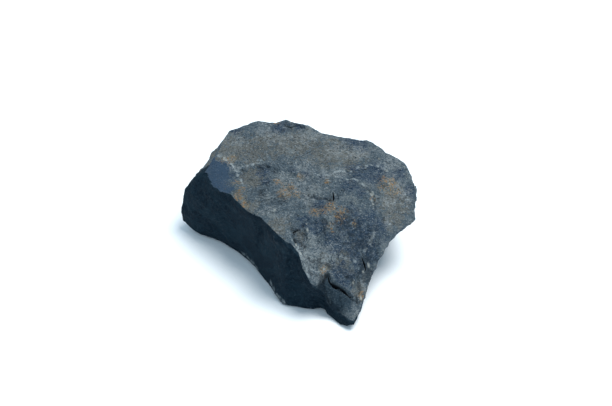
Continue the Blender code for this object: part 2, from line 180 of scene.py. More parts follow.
# Finer ledges, too low for the solid, in the same form.
FINE_LEDGES = {
    "upper_layer_lip": (((26, 12), (20, 10.5), (10, 8.5), (1, 9.5), (-8, 13)), 0.30, 4, 0.6),
    "upper_layer_toe": (((24, 4.5), (17, 3), (9, 2.5), (-1, 3.5)), 0.35, 4, 0.5),
    "left_flake": (((-12, 8), (-16, 4), (-19.5, 5.5), (-22, 2.5)), 0.35, 5, 0.5),
    "left_strip": (((-9, -8), (-13, -6.5), (-17, -8), (-19, -6)), 0.30, 4, 0.5),
    "crease_strip": (((-3, -20), (-8, -15), (-12, -12.5), (-16.5, -10)), 0.35, 4, 0.5),
    "middle_flake": (((15, -10), (10, -12), (4, -11), (0, -13)), 0.40, 5, 0.5),
    "slope_brow": (((30, -4.5), (24, -9), (17, -13), (10, -16.5), (4.5, -19)), 0.45, 5, 0.8),
    "slope_band": (((31, -13.5), (25, -15.5), (18, -19), (11, -22), (5, -24.5)), 0.35, 4, 0.6),
    "striae_high": (((14, -26.5), (8, -28.5), (1.5, -29.5)), 0.35, 1.6, 0.4),
    "striae_low": (((17, -27.5), (10, -30), (3, -31.5)), 0.35, 2, 0.4),
    "flake_top": (((19, -31), (15.5, -30), (12, -29.8)), 0.35, 3, 0.4),
    "scar_rib": (((17.5, -37.5), (14.5, -37), (12.5, -36)), 0.35, 3, 0.5),
    "back_flake": (((-10, 22), (-15, 19.5), (-21, 21), (-26, 19)), 0.30, 5, 0.7),
    "back_rim_crack": (((1.6, 29.7), (-1, 31.5), (-3.5, 30.1), (-6, 32)), 0.50, 3, 0.4),
    "back_strip": (((16, 17.5), (9, 16.5), (2, 18.5), (-4, 17.5)), 0.25, 5, 0.7),
    "right_strip": (((38, 4), (33, 3), (29.5, 0.5)), 0.30, 4, 0.6),
}

# Pits and low knobs on top: a middle, a radius, and how high the knob or how deep the pit is.
DIMPLES = {
    "knob": ((0.1, -25.2), 2.6, 0.5),
    "knob_slit": ((-2.5, -23), 1.4, -1.2),
    "middle_pit": ((12.6, -6.4), 1.6, -0.9),
    "middle_knob": ((16.4, -3), 2.6, 0.8),
    "hollow_pit": ((-4.6, -1.8), 2.4, -0.7),
    "left_knob": ((-20.6, -2.4), 3, 0.7),
    "left_pit": ((-15.2, -6.4), 2.2, -0.6),
    "crumb": ((2.5, -22), 1.4, 0.9),
    "recess": ((10, -35.5), 1.8, -1.4),
    "right_knob": ((27.4, -2), 2, 0.8),
    "right_bump": ((29.6, -13.4), 2.4, 0.9),
    "slope_bump": ((20.4, -15.4), 3, 0.8),
    "slope_pit": ((24.2, -19.6), 2.2, -0.8),
    "edge_notch": ((25.5, -25.5), 2, -1.3),
    "back_pit": ((-0.6, 27.2), 2.4, -0.9),
    "back_knob": ((-12.4, 21), 3.4, 0.6),
    "back_hollow": ((9.4, 15), 4, -0.6),
}

# Layers show as steps round the back and the right end: their heights, and how far each layer
# stands out past the one below it.
LAYERS = ((9.0, 1.1), (15.5, -0.8), (22.0, 1.0), (28.5, -1.2))
LAYERED_FROM = (0.30, 0.95)  # the way the layered side faces, on the plan

# Flat scars: a point on the plane of the break, the way it faces, and how far round it reaches.
SCARS = {
    "blue_facet": ((-29.5, 6.5, 30.9), (-0.30, -0.17, 0.94), 14),
    "crease_chip": ((-14.6, -17.2, 29), (-0.74, -0.50, 0.45), 8),
    "crease_nick": ((-20.8, -11.2, 29.4), (-0.76, -0.40, 0.52), 6),
    "left_block": ((-40.4, 6, 20), (-0.62, -0.76, 0.18), 16),
    "left_block_back": ((-43.8, 16, 20), (-0.72, 0.60, 0.34), 15),
    "fresh_front": ((-4.5, -29.8, 15), (-0.66, -0.75, 0.05), 16),
    "fresh_middle": ((-16.6, -12.8, 13), (-0.80, -0.60, -0.04), 18),
    "right_corner": ((43, -3, 26.6), (0.88, -0.20, 0.44), 12),
    "right_shelf": ((39.2, -11.6, 22.4), (0.60, -0.78, 0.14), 10),
    "spur_side": ((26.4, -28, 10.4), (0.86, -0.48, 0.16), 10),
    "right_under": ((37.4, -2, 9), (0.80, -0.24, -0.54), 22),
    "back_right": ((32.4, 21.6, 22), (0.66, 0.72, 0.20), 20),
    "back_middle": ((14, 32, 17), (0.16, 0.95, 0.27), 20),
    "back_left": ((-23, 34, 19), (-0.42, 0.88, 0.22), 20),
    "back_nick": ((11.5, 28.5, 34.8), (0.30, 0.60, 0.74), 9),
    "back_foot": ((-6, 35.4, 6), (-0.10, 0.78, -0.62), 16),
    "left_under": ((-38, 12.5, 0.2), (-0.44, -0.10, -0.89), 15),
}
SCAR_FADE = 0.35  # the outer share of a scar's reach, over which it dies away

# Where the smooth blue facet ends towards the top's middle.
FACET_EDGE = ((-30.5, 19.0), (-28.6, 16.4), (-24.9, 9.6), (-23.9, 2.5), (-25.5, -3.0))

# The crack under the flake on the spur, and short slits: the line on the ground plan, width, depth.
CRACKS = (
    (
        ((10, -31.3), (10.6, -32.6), (12, -33.4), (14.9, -33.9))
        + ((16.4, -34.2), (17.6, -34.8), (19.4, -35.2)),
        0.95, 3,
    ),
    (((12.2, -4.3), (12.4, -6.4), (12.2, -8.7)), 0.7, 1.6),
    (((-2.8, -24.4), (-2, -22.9), (-0.6, -22.4)), 0.7, 1.3),
    (((22.4, -24), (23.5, -25.4), (24, -27)), 0.9, 1.4),
    (((-5.8, 31.6), (-3.6, 30.2), (-1.6, 30.9)), 0.6, 1.2),
)

# A ring of broken edge round the knob: its middle, radius, width and depth.
KNOB_RING = ((0.1, -25.2), 2.4, 0.7, 0.9)

# Unevenness that the solid has too, as (size of the lumps, height), and the finer grades below it.
ROUGHNESS = ((17.0, 0.75), (6.5, 0.40), (2.6, 0.22))
FINE_ROUGHNESS = ((1.5, 0.15), (0.8, 0.11))

FLAKE_THICKNESS = 0.34  # the thin layers that have flaked off the top
TOP_BED = 0.95  # the layers that show as steps on the slope
SIDE_BED = 2.1  # and those that show down the sides
BOWL_SIZE = 15.0  # the shallow bowls of the broken sides
DENT_SIZE = 6.0  # and the smaller ones in them
CHIP_DEPTH = 0.18  # the chips along the rim
BUMP_DEPTH = 0.0007  # the grains that are only shading, in metres
GRAIN_COUNT = 420  # small grains and pits strewn over the top

# Patches that tint the top: x and y of the middle, and the radius.
BLUE_PATCHES = (
    (-30, 7.5, 7), (-13.5, 8.5, 3), (-12.5, 3, 2.5), (-2.8, 7.8, 1.6), (2.2, 6, 1.6),
    (8, 3.4, 1.4), (21.5, 6.5, 4.5), (28, 5.5, 5.5), (18, -1, 4.5), (22.5, -3, 2.5),
    (7, -11, 4), (2.5, -19, 3.5), (6.5, -19.5, 3.5), (22, -13.5, 4.5), (28, -13.5, 4.5),
    (17, -17.5, 5), (23.5, -19, 6), (12.5, -23.5, 4.5), (19.5, -23.5, 4.5),
    (-7.5, 30.5, 4), (0.5, 31, 3), (-24.5, 31.5, 3), (22, 21, 5), (41.5, 1.5, 3),
    (36.5, 7, 3.5), (15.5, -31, 4),
)
WARM_PATCHES = (
    (-26, 20.5, 9), (-17, 20, 9), (-8, 21, 8), (1, 21, 9), (11, 15.5, 9),
    (19, 13, 7), (35, -2, 6.5), (33.5, -8, 5.5), (-22.5, -4.5, 3.5),
    (-18.5, -11, 4), (-8, -21, 5), (-17.5, 5, 5.5), (9, -30, 2.5),
    (16, -27, 3.5), (21.5, -33, 3), (0, -25, 2.5),
)
PALE_PATCHES = (
    (-14, 31, 3.5), (-24.5, 11, 3), (2, 9, 4.5), (33.5, 11.5, 4.5), (2, -29.5, 4.2),
    (5, -32, 3.5), (11, -26.5, 3), (32, -12, 2), (-12, -12.5, 3.5),
    (3.5, -8.5, 3), (20, -39, 2.5), (22.5, -31, 2), (-6, -17, 3), (3, 5.5, 3.4),
    (9, 4.6, 3), (14.5, 4.6, 3.2), (18, -41, 2.2), (-4, 0, 6), (2.5, -3, 4),
    (35.5, 4, 4), (38.5, -0.5, 3.5), (33, -4.5, 3), (-8, 25, 5), (3, 25, 5.5),
    (14, 18, 5), (22, 15.5, 4.5), (-23, 25, 3.5), (5.5, -27, 4), (8, -31, 2.5),
)
# Darker patches on top, added to the painted shade: over the knob and its ring, pits and notches, and on
# parts of the front slope.
DARK_PATCHES = (
    (0.1, -25.4, 2.8), (-1.8, -23.4, 2.2), (-7.5, -8, 3), (19, -17.5, 6),
    (24.5, -20.5, 5), (24.5, -26.5, 2.2), (26, -29, 1.6), (21.5, -29.5, 2.5),
    (21, -20, 4.5), (26, -17, 3), (14, -18.5, 3), (9, -19.5, 2.2),
    (-11, -8, 3), (-14.5, -4.5, 2.5), (8.5, -35.5, 2), (12, -38, 2),
)
RUST_PATCHES = (
    (-8.5, 2, 2), (-3.5, -2, 3), (-5.5, -4.8, 3.5), (-1, -6, 2), (0, 4, 2),
    (10, 1, 1.8), (-24, 2.2, 2), (-21.5, -1.5, 1.8), (-23, -4.5, 2), (-20.5, -9, 2.2),
    (11, -12, 3.5), (14.5, -14.5, 3.5), (5.5, -14.5, 2.5), (11.3, -19.2, 1.6),
    (19.7, -16.4, 1.4), (26.8, -5, 1.6), (33, 1, 4.5), (22.3, -34.4, 1.2), (9, -31, 1.6),
    (-9, 33, 1.6), (-26.5, 15.5, 3),
)

# Pale lines along crests and edges, partly painted highlight, and dark lines of painted shade in the
# corners and cracks, each with its width, and small white flecks as x, y and radius, some of them
# painted highlights on small bumps and crests.
PALE_LINES = (
    (((-31, 18.5), (-27.5, 15), (-25, 11.5), (-23, 6.5), (-21.6, 1.5)), 0.9),
    (((-21, 11.4), (-18, 11.4), (-13.5, 12.5)), 0.45),
    (((-16, 13.5), (-12, 13.2)), 0.35),
    (((5.5, 4.9), (9.7, 4.4), (13.5, 5.4), (19, 6.6), (22, 8.4)), 0.5),
    (((24.5, 9.3), (28.5, 9.8), (32.8, 8)), 0.45),
    (((10.4, 1.4), (14, 1.4), (18, 1.8)), 0.4),
    (((12, 2.8), (16, 2.9), (20, 3), (23, 0.2), (25.6, -2.8)), 0.4),
    (((26.4, -3), (26.6, -5), (27.2, -8.6)), 0.5),
    (((42.6, -5.5), (40.5, -1.5), (38, 0.5)), 0.4),
    (((2, -29.2), (8, -29.2), (13.5, -26.8)), 0.55),
    (((13, -26.2), (17.5, -26.2), (20.5, -25.6)), 0.55),
    (((4, -32.4), (9, -31)), 0.3),
    (((-16.5, -6.2), (-9, -6.4)), 0.3),
    (((-0.8, -28.2), (0.6, -30.2), (1.8, -32.6), (3.4, -34.8)), 0.8),
    (((-4, -23.5), (-3.4, -26), (-2, -27.6)), 0.4),
    (((27.5, -16), (24.5, -21), (22.8, -23.5)), 0.5),
)
DARK_LINES = (
    (((8, -34), (9.2, -35.8), (11, -36.6), (13, -37.8), (15, -39.2)), 0.9),
    (((22.6, -24.2), (23.4, -25.5), (23.8, -26.6), (23.6, -28.4)), 1.5),
    (((25, -27), (26, -28.6), (24.6, -30.4)), 1.5),
    (((10, -29.6), (14, -29.4), (18, -30.6), (20, -32)), 0.6),
    (((-5.7, 31.9), (-3.4, 30.2), (-1.1, 31.6), (1.6, 29.5)), 0.5),
    (((-16, 10.8), (-13.4, 10.4), (-11.6, 10)), 0.4),
    (((3, -30.6), (7, -29.8), (10.5, -29.4)), 0.5),
    (((4, -33.6), (7.6, -32.9), (10, -31.6)), 0.4),
    (((20.4, -35.6), (21.6, -33.4), (21, -31.2)), 0.4),
    (((16, -23), (19.6, -22), (23, -21.4)), 0.4),
    (((2.6, -6.2), (6, -7.2), (9.6, -7.4)), 0.4),
)
FLECKS = (
    (26.6, -3.4, 0.55), (27, -6.6, 0.45), (-9.2, -13.1, 0.5), (-16.8, 27, 0.4),
    (32.5, 8.4, 0.35), (29.7, 14, 0.35), (2.7, -22.4, 0.45), (2.4, -19.8, 0.3),
    (-1.4, -27.6, 0.4), (0.4, -29.4, 0.4), (22.2, -35, 0.4), (19.4, -31.4, 0.35),
    (33.2, 2, 0.35), (25, -25, 0.45), (23, -27.4, 0.35),
)

# Places low on the fresh break that are paler and take the weathered colours: the middle and the radius.
FOOT_PALE_SPOTS = (
    ((-21.2, -4.6, 3.2), 2.2),
    ((-19.6, -7, 3), 2.4),
    ((-17.8, -9.6, 2.6), 2.3),
    ((-16.2, -12, 2.2), 1.9),
    ((-11.2, -21.5, 2.4), 2),
    ((-9.6, -24.5, 2.4), 2.3),
    ((-7.8, -27.6, 2), 2.2),
    ((-6, -30, 1.4), 1.7),
)


def sheet_height(x, y, sheet):
    (px, py, pz), slope_x, slope_y = TOP_SHEETS[sheet]
    return pz + slope_x * (x - px) + slope_y * (y - py)


def front_height(x, y):
    """Height of the stepped slope that falls to the spur."""
    uphill = (x - SLOPE_START[0]) * SLOPE_UPHILL[0] + (y - SLOPE_START[1]) * SLOPE_UPHILL[1]
    return np.interp(uphill, *zip(*SLOPE_STEPS))


def top_height(x, y):
    """Height of the top before its ledges: the softened lowest of the sheets and the front."""
    heights = np.stack([sheet_height(x, y, sheet) for sheet in TOP_SHEETS] + [front_height(x, y)])
    lowest = heights.min(axis=0)
    share = np.exp(-(heights - lowest) / SHEET_BLEND).sum(axis=0)
    return lowest - SHEET_BLEND * np.log(share)


def distance_to_line(x, y, line):
    """Distance to a broken line on the plan, positive on its left, and how far past its ends."""
    nearest = np.full(len(x), 1e9)
    across = np.zeros(len(x))
    past = np.zeros(len(x))
    last = len(line) - 2
    for i, (start, end) in enumerate(zip(line[:-1], line[1:])):
        dx, dy = end[0] - start[0], end[1] - start[1]
        length = np.hypot(dx, dy)
        along = ((x - start[0]) * dx + (y - start[1]) * dy) / length
        held = np.clip(along, 0.0, length)
        away = np.hypot(x - start[0] - held * dx / length, y - start[1] - held * dy / length)
        sideways = ((y - start[1]) * dx - (x - start[0]) * dy) / length
        over = np.maximum(-along if i == 0 else 0.0, along - length if i == last else 0.0)
        # Beyond a corner two pieces are equally near, and the one seen more squarely tells the side.
        level = (np.abs(away - nearest) < 1e-6) & (np.abs(sideways) > np.abs(across))
        closer = (away < nearest - 1e-6) | level
        nearest = np.where(closer, away, nearest)
        across = np.where(closer, sideways, across)
        past = np.where(closer, np.maximum(over, 0.0), past)
    return np.sign(across) * nearest, past


def fractal(points, size, seed):
    """Smooth noise of about -1 to 1 whose lumps are this many millimetres across."""
    shift = Vector((seed * 13.7, seed * 7.1, seed * 3.3))
    return np.array([noise.fractal(Vector(p) / size + shift, 0.9, 2.1, 3) for p in points.tolist()])


def flat(x, y):
    return np.stack([x, y, np.zeros(len(x))], axis=1)


def smooth(value):
    """0 to 1 with soft ends."""
    value = np.clip(value, 0.0, 1.0)
    return value * value * (3.0 - 2.0 * value)


def spotted(x, y, spots, wander, ragged=0.5, reach=1.45, fade=1.0):
    """1 in the middle of the spots, falling off softly to 0 outside, with edges that wander."""
    found = np.zeros(len(x))
    for middle_x, middle_y, radius in spots:
        away = np.hypot(x - middle_x, y - middle_y) / radius + wander * ragged
        found = np.maximum(found, smooth((reach - away) / fade))
    return found


def clouds(points, size, seed, start, softness):
    """Soft patches of noise: 0 where it is below the start, and 1 well above it."""
    return smooth((fractal(points, size, seed) - start) / softness)


def outward_from_crown(points):
    """The way out from the crown to each point, on the plan."""
    outward = points[:, :2] - np.array(CROWN)
    return outward / np.maximum(np.linalg.norm(outward, axis=1), 1e-6)[:, None]


def rings_round(spacing):
    """The rim, waist and foot as closed rings of points, and the share of the fresh break at each."""
    rim = np.array([station[0] for station in STATIONS])
    foot = np.array([station[1] for station in STATIONS])
    swell = np.array([station[2] for station in STATIONS])
    fresh = (np.arange(len(STATIONS)) < LAST_FRESH_STATION).astype(float)
    waist = foot + (rim - foot) * WAIST
    outward = waist[:, :2] - np.array(CROWN)
    waist[:, :2] += outward / np.linalg.norm(outward, axis=1)[:, None] * swell[:, None]
    steps = np.ceil(np.linalg.norm(np.roll(rim, -1, axis=0) - rim, axis=1) / spacing).astype(int)

    def filled(ring):
        after = np.roll(ring, -1, axis=0)
        return np.concatenate(
            [np.linspace(ring[i], after[i], n, endpoint=False) for i, n in enumerate(steps)]
        )

    return filled(rim), filled(waist), filled(foot), filled(fresh)


def top_rows(rim, spacing):
    """Rows of points over the top, from just outside the crown to the rim."""
    crown = np.array(CROWN)
    across = rim[:, :2] - crown
    widest = np.linalg.norm(across, axis=1)
    lift = rim[:, 2] - top_height(rim[:, 0], rim[:, 1])
    count = int(widest.max() / spacing)
    rows = []
    for share in np.arange(1, count) / count:
        plan = crown + across * share
        near_rim = np.clip(1.0 - (1.0 - share) * widest / RIM_REACH, 0.0, 1.0)
        height = top_height(plan[:, 0], plan[:, 1]) + lift * near_rim**2
        rows.append(np.column_stack([plan, height]))
    return rows + [rim]


def side_rows(upper, lower, spacing):
    """Rows down the side below the upper ring, down to the lower one."""
    count = int(np.linalg.norm(upper - lower, axis=1).max() / spacing)
    return [upper + (lower - upper) * step / count for step in range(1, count + 1)]


def under_rows(foot, spacing):
    """Rows from the foot in towards the middle of the underside, which sinks towards it."""
    middle = np.array(CROWN)
    count = int(np.linalg.norm(foot[:, :2] - middle, axis=1).max() / spacing)
    rows = []
    for share in np.arange(1, count) / count:
        plan = foot[:, :2] + (middle - foot[:, :2]) * share
        height = foot[:, 2] - (foot[:, 2] + BASE_DIP) * (1.0 - (1.0 - share) ** 2)
        rows.append(np.column_stack([plan, height]))
    return rows


def ledge_relief(x, y, ledges, wander, worn_down):
    """The drop, the worn lip and the painted shade under the step of each ledge, all together."""
    drop, lip, hollow = np.zeros(len(x)), np.zeros(len(x)), np.zeros(len(x))
    for line, depth, reach, width in ledges.values():
        signed, past = distance_to_line(x, y, line)
        signed = signed + wander
        ends = np.clip(1.0 - past / 3.0, 0.0, 1.0)
        fall = smooth(signed / width + 0.5) * np.clip(1.0 - signed / reach, 0.0, 1.0)
        drop = np.maximum(drop, depth * fall * ends)
        strength = min(depth / 0.8, 1.2) * min(1.0, 0.8 / width) * ends * worn_down
        lip = np.maximum(lip, np.exp(-(((signed + width / 2 + 0.1) / 0.5) ** 2)) * strength)
        hollow = np.maximum(hollow, np.exp(-(((signed - width / 2 - 0.1) / 0.5) ** 2)) * strength)
    return drop * worn_down, lip, hollow


def dimple_rise(x, y):
    """How far the knobs raise the top at each point; a pit counts as a rise below nothing."""
    rise = np.zeros(len(x))
    for (middle_x, middle_y), radius, height in DIMPLES.values():
        away = np.hypot(x - middle_x, y - middle_y) / radius
        rise += height * np.clip(1.0 - away**2, 0.0, 1.0)
    return rise


def scattered_rise(x, y, count, seed):
    """Small grains and pits strewn over the top."""
    chance = np.random.default_rng(seed)
    rise = np.zeros(len(x))
    for _ in range(count):
        middle = chance.uniform((-40.0, -41.0), (44.0, 36.0))
        radius = chance.uniform(0.5, 1.5)
        height = chance.choice((-1.0, -1.0, 1.0)) * chance.uniform(0.15, 0.45)
        stretch = chance.uniform(0.5, 1.0)
        away = np.hypot((x - middle[0]) * stretch, y - middle[1]) / radius
        rise += height * np.clip(1.0 - away**2, 0.0, 1.0)
    return rise


def ring_depth(x, y):
    """Depth of the broken ring round the knob."""
    (middle_x, middle_y), radius, width, depth = KNOB_RING
    away = np.hypot(x - middle_x, y - middle_y)
    return depth * np.exp(-(((away - radius) / width * 1.6) ** 2))


def ragged_lines(x, y, lines, wander):
    """1 along the lines, with ragged edges, and 0 away from them."""
    found = np.zeros(len(x))
    for line, width in lines:
        signed, past = distance_to_line(x, y, line)
        away = np.abs(signed + wander * 0.5) / width
        found = np.maximum(found, np.exp(-(away**2)) * np.clip(1.0 - past, 0.0, 1.0))
    return found


def stepped(height, thickness, start, rise, crest, crest_width):
    """How far each height moves when it is cut into steps of layers, and the edges of the steps."""
    step = height / thickness
    part = step - np.floor(step)
    edge = smooth((part - start) / rise)
    return (np.floor(step) + edge - step) * thickness, np.exp(-(((part - crest) / crest_width) ** 2))


def flaking(points, size, thickness, seed):
    """Steps of thin layers that have flaked off along the contours of slow noise, and their edges."""
    height = fractal(points, size, seed) * size * 0.16 + fractal(points, size * 0.15, seed + 0.5) * 0.16
    return stepped(height, thickness, 0.40, 0.20, 0.60, 0.10)


def scallops(points, size, seed):
    """Shallow bowls that meet in sharp ridges, as where glassy rock breaks: 0 in them, 1 at ridges."""
    shift = Vector((seed * 5.3, seed * 2.9, seed * 8.7))
    away = [noise.voronoi(Vector(point) / size + shift)[0][:2] for point in points.tolist()]
    nearest, second = np.array(away).T
    return nearest**2, np.exp(-((second - nearest) / 0.05))


def bedding(height, thickness):
    """Steps of the layers where a slope or a side cuts across them, and their edges."""
    return stepped(height, thickness, 0.35, 0.3, 0.66, 0.12)


def layer_push(points):
    """How far the layers push each point of the side out from the middle, on the plan."""
    wander = fractal(points * np.array([0.4, 0.4, 0.1]), 3.0, 7.0) * 2.2
    height = points[:, 2] + wander
    push = sum(out * np.clip((height - level) / 0.6, 0.0, 1.0) for level, out in LAYERS)
    outward = outward_from_crown(points)
    share = np.clip(outward @ np.array(LAYERED_FROM) * 1.6 + 0.2, 0.0, 1.0)
    return outward * (push * share)[:, None]


def knocked_flat(points):
    """Clips the points beyond each scar's plane back on to it, and tells how much each scar took."""
    clipped = {}
    for name, (centre, facing, reach) in SCARS.items():
        normal = np.array(facing) / np.linalg.norm(facing)
        offset = points - np.array(centre)
        proud = np.maximum(offset @ normal, 0.0)
        hold = np.clip((1.0 - np.linalg.norm(offset, axis=1) / reach) / SCAR_FADE, 0.0, 1.0)
        points = points - normal * (proud * hold)[:, None]
        clipped[name] = proud * hold
    return points, clipped


# What the material reads at each point of the skin.
MASKS = "fresh worn hollow pale line fleck rust blue warm facet scar crack".split()


class Skin:
    """The lump's fine skin as rows and columns of points, with what the material needs at each."""

    def __init__(self, spacing, relief):
        rim, waist, foot, fresh = rings_round(spacing)
        top = top_rows(rim, spacing)
        side = side_rows(rim, waist, spacing * 1.25) + side_rows(waist, foot, spacing * 1.25)
        under = under_rows(foot, spacing * 3.0)
        grid = np.array(top + side + under)
        self.shape = grid.shape[:2]
        self.points = grid.reshape(-1, 3)
        self.row = np.repeat(np.arange(self.shape[0]), self.shape[1])
        self.fresh_side = np.tile(smooth((fresh - 0.55) / 0.35), self.shape[0])
        self.last_top = len(top) - 1
        self.last_side = len(top) + len(side) - 1
        self.relief = relief
        self.from_rim = self.distance_from_rim(grid)
        self.shape_top()
        self.shape_side()
        self.roughen()
        self.points, clipped = knocked_flat(self.points)
        self.points[:, 2] = np.maximum(self.points[:, 2], 0.0)
        self.paint(clipped)

    def distance_from_rim(self, grid):
        """Distance of each point from the rim, measured down its own column."""
        gaps = np.linalg.norm(np.diff(grid, axis=0), axis=2)
        travelled = np.vstack([np.zeros(self.shape[1]), np.cumsum(gaps, axis=0)])
        return np.abs(travelled - travelled[self.last_top]).ravel()

    def shape_top(self):
        """Ledges, knobs, flakes, grains and slits of the top, all straight up or down."""
        x, y = self.points[:, 0], self.points[:, 1]
        plan = flat(x, y)
        is_top = self.row <= self.last_top
        on_top = np.clip(self.from_rim / 2.0, 0.0, 1.0) * is_top
        wander = fractal(plan, 3.2, 5.0) * 0.8
        worn_down = np.clip(0.75 + fractal(plan, 7.0, 6.0) * 0.9, 0.15, 1.2)
        drop, lip, hollow = ledge_relief(x, y, LEDGES, wander, worn_down)
        fine_drop, fine_lip, fine_hollow_shade = ledge_relief(x, y, FINE_LEDGES, wander, worn_down)
        slope = smooth((sheet_height(x, y, "back") - front_height(x, y) + 1.0) / 4.0)
        flakes, flake_edge = flaking(plan, 9.0, FLAKE_THICKNESS, 21.0)
        shift = fractal(plan, 11.0, 23.0) * 2.6 + fractal(plan, 1.1, 24.0) * 0.22
        beds, bed_edge = bedding(self.points[:, 2] + shift, TOP_BED)
        bedded = slope * clouds(plan, 7.0, 25.0, -0.25, 0.5)
        grains = scattered_rise(x, y, GRAIN_COUNT, 5)
        ring = ring_depth(x, y) * smooth(0.35 + fractal(plan, 1.6, 26.0) * 1.8)
        fine = flakes * (1.0 - 0.6 * slope) + beds * bedded * 0.45 + grains * 0.8
        rise = dimple_rise(x, y) - drop + (fine - fine_drop) * self.relief - ring
        self.points[:, 2] += rise * on_top
        edges = np.maximum(flake_edge * 0.35 * (1.0 - 0.5 * slope), bed_edge * bedded * 0.35)
        self.lip = np.maximum(np.maximum(lip, fine_lip * 0.8), edges) * is_top
        # Painted shade under the steps of the ledges and in the ring round the knob.
        self.hollow = np.maximum(np.maximum(hollow, fine_hollow_shade * 0.7), ring * 1.8) * is_top
        self.low = np.clip(-fine / 0.35, -1.0, 1.0) * is_top
        scar, _ = distance_to_line(x, y, LEDGES["spur_scar"][0])
        near_scar = smooth((15.0 - np.hypot(x - 14.0, y + 41.0)) / 5.0) * smooth((20.0 - x) / 2.0)
        near_scar *= 1.0 - 0.5 * smooth((-37.5 - y) / 2.5)
        self.scar = smooth((scar + wander + 0.1) / 0.4) * near_scar * is_top

    def shape_side(self):
        """Layers of the back and right end, and the low steps of the fresh face."""
        on_side = np.clip((self.row - self.last_top) / 3.0, 0.0, 1.0) * (self.row <= self.last_side)
        on_side = on_side * smooth(self.points[:, 2] / 2.0)
        self.points[:, :2] += layer_push(self.points) * on_side[:, None]
        face = self.fresh_side * on_side
        shift = fractal(self.points * np.array([0.5, 0.5, 0.15]), 5.0, 27.0) * 2.0
        beds, bed_edge = bedding(self.points[:, 2] + shift, SIDE_BED)
        bedded = (1.0 - self.fresh_side) * clouds(self.points, 9.0, 28.0, -0.3, 0.5)
        outward = outward_from_crown(self.points)
        bent = self.points + fractal(self.points, 6.0, 31.0)[:, None] * 2.0
        bowls, ridges = scallops(bent, BOWL_SIZE, 1.0)
        dents, small_ridges = scallops(bent, DENT_SIZE, 2.0)
        broken = (bowls * 1.6 + dents * 0.35) * (0.4 + 0.6 * face)
        push = beds * bedded * 0.4 + broken
        self.points[:, :2] += outward * (push * self.relief * on_side)[:, None]
        edges = np.maximum(ridges, small_ridges * 0.5) * 0.7
        self.lip = np.maximum(self.lip, np.maximum(bed_edge * bedded * 0.5, edges * on_side * 0.6))

    def normals(self):
        grid = self.points.reshape(*self.shape, 3)
        down = np.gradient(grid, axis=0)
        round_it = (np.roll(grid, -1, axis=1) - np.roll(grid, 1, axis=1)) / 2.0
        normal = np.cross(down, round_it).reshape(-1, 3)
        return normal / np.maximum(np.linalg.norm(normal, axis=1), 1e-9)[:, None]

    def roughen(self):
        """Unevenness along the surface's own direction, and chips along the rim."""
        points = self.points
        push = sum(fractal(points, size, seed) * height for seed, (size, height) in enumerate(ROUGHNESS))
        calm = np.clip(0.2 + points[:, 2] / 6.0, 0.2, 1.0)
        grades = enumerate(FINE_ROUGHNESS, start=40)
        fine = sum(fractal(points, size, seed) * height for seed, (size, height) in grades)
        chips = clouds(points, 2.8, 51.0, 0.15, 0.4) * smooth(1.0 - self.from_rim / 1.6)
        fine = fine * (1.0 - 0.75 * np.exp(-((self.from_rim / 1.5) ** 2)))
        push = push + fine * self.relief - chips * CHIP_DEPTH
        self.points = points + self.normals() * (push * calm)[:, None]
        self.grain = fine

    def paint(self, clipped):
        """The colour masks, from 0 to 1; the painted shade of the hollows may go up to 1.5."""
        x, y = self.points[:, 0], self.points[:, 1]
        plan = flat(x, y)
        is_top = self.row <= self.last_top
        is_side = (self.row > self.last_top) & (self.row <= self.last_side + 2)
        old_side = (self.row > self.last_top) * (1.0 - self.fresh_side)
        wander = fractal(plan, 3.0, 61.0)
        ragged = fractal(self.points, 1.3, 62.0)
        beyond, _ = distance_to_line(x, y, FACET_EDGE)
        facet = smooth(clipped["blue_facet"] / 0.10) * smooth(0.5 - (beyond + ragged * 0.5) / 0.8)
        pale_foot = np.zeros(len(x))
        for middle, radius in FOOT_PALE_SPOTS:
            away = np.linalg.norm(self.points - np.array(middle), axis=1) / radius + ragged * 0.5
            pale_foot = np.maximum(pale_foot, smooth((1.0 - away) / 0.4))
        bare = self.fresh_side * is_side * (1.0 - pale_foot) * (1.0 - smooth(facet * 3.0))
        self.fresh = np.clip(bare, 0.0, 1.0)
        crest = np.exp(-((self.from_rim / 0.7) ** 2)) * smooth(0.4 + ragged) * (1.0 - facet)
        lines = ragged_lines(x, y, PALE_LINES, ragged)
        # Dark lines of painted shade in the corners and cracks.
        dark_line_shade = ragged_lines(x, y, DARK_LINES, ragged) * is_top
        raised = smooth(self.grain / 0.15) * 0.35 + smooth(-self.low) * 0.15
        self.worn = np.clip(self.lip * 0.55 + crest * 0.6 + raised, 0.0, 1.0)
        # Painted shade, darker in the low places of the fine relief.
        sunk_shade = smooth(self.low) * 0.25 + smooth(-self.grain / 0.15) * 0.35
        # Darker patches on top, added to the painted shade.
        dim = spotted(x, y, DARK_PATCHES, wander) * is_top * 0.80
        # Painted shade: a darker band on the fresh break just under the rim.
        below = self.from_rim - 2.5 - 2.0 * fractal(plan, 9.0, 67.0)
        crease_shade = np.exp(-((below / 2.2) ** 2)) * bare * smooth((x + 34.0) / 6.0) * 0.8
        self.hollow = np.clip(self.hollow * 0.6 + sunk_shade + dark_line_shade * 1.2 + dim + crease_shade, 0.0, 1.5)
        pale = spotted(x, y, PALE_PATCHES, wander) * 0.7
        self.pale = np.clip(np.maximum(pale * is_top, pale_foot * is_side * 0.75), 0.0, 1.0)
        # Pale lines along crests, partly painted highlight.
        self.line = lines * is_top * smooth(0.70 + fractal(self.points, 1.8, 66.0) * 1.5)
